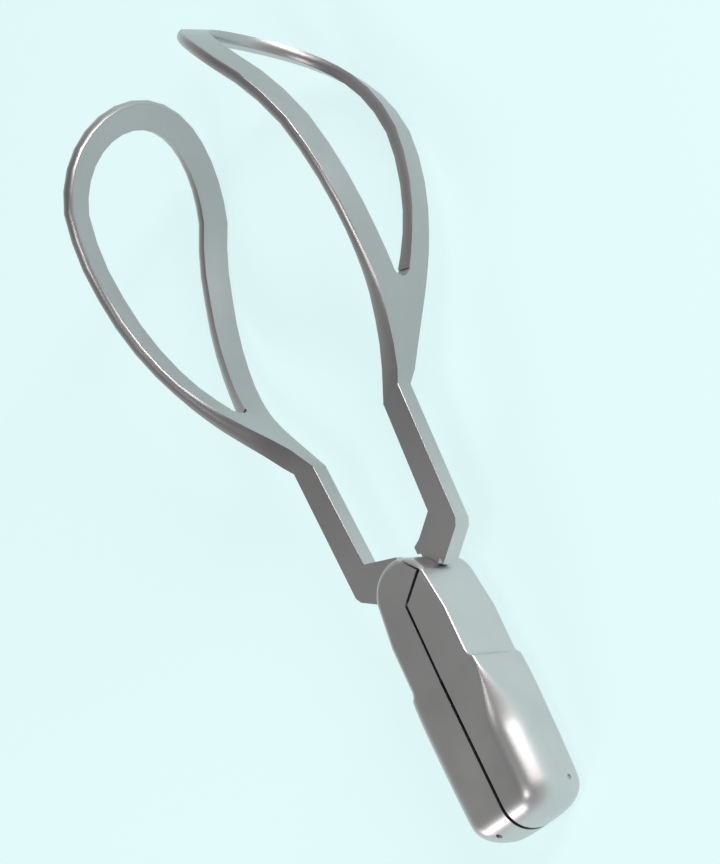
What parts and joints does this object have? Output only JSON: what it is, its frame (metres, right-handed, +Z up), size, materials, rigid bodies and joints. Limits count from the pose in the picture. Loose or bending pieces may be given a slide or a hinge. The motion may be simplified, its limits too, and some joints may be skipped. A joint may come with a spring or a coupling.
{
  "type": "obstetric forceps",
  "caption": "Steel obstetric forceps with fenestrated blades, open shanks, an English lock and hollow grips.",
  "frame": {"origin": "bottom centre of the bounding box, as the instrument lies on its back", "axes": "+X to the right blade, +Y towards the blade tips, +Z up, out of the front of the lock"},
  "size_m": [0.1086, 0.2894, 0.0735],
  "materials": {
    "satin_steel": "satin"
  },
  "bodies": {
    "left_blade_half": {"left_blade_branch": "satin_steel", "right_grip": "satin_steel", "right_grip_plate": "satin_steel", "right_tang_pin": "satin_steel", "right_vent_plug": "satin_steel"},
    "right_blade_half": {"right_blade_branch": "satin_steel", "left_grip": "satin_steel", "left_grip_plate": "satin_steel", "left_tang_pin": "satin_steel", "left_vent_plug": "satin_steel"}
  },
  "joints": [
    {"name": "lock_turn", "type": "hinge", "parent": "left_blade_half", "child": "right_blade_half", "pos_m": [0, -0.05185, 0.01999], "axis": [0, 0.0941, -0.9956], "range_deg": [0, 7]}
  ]
}
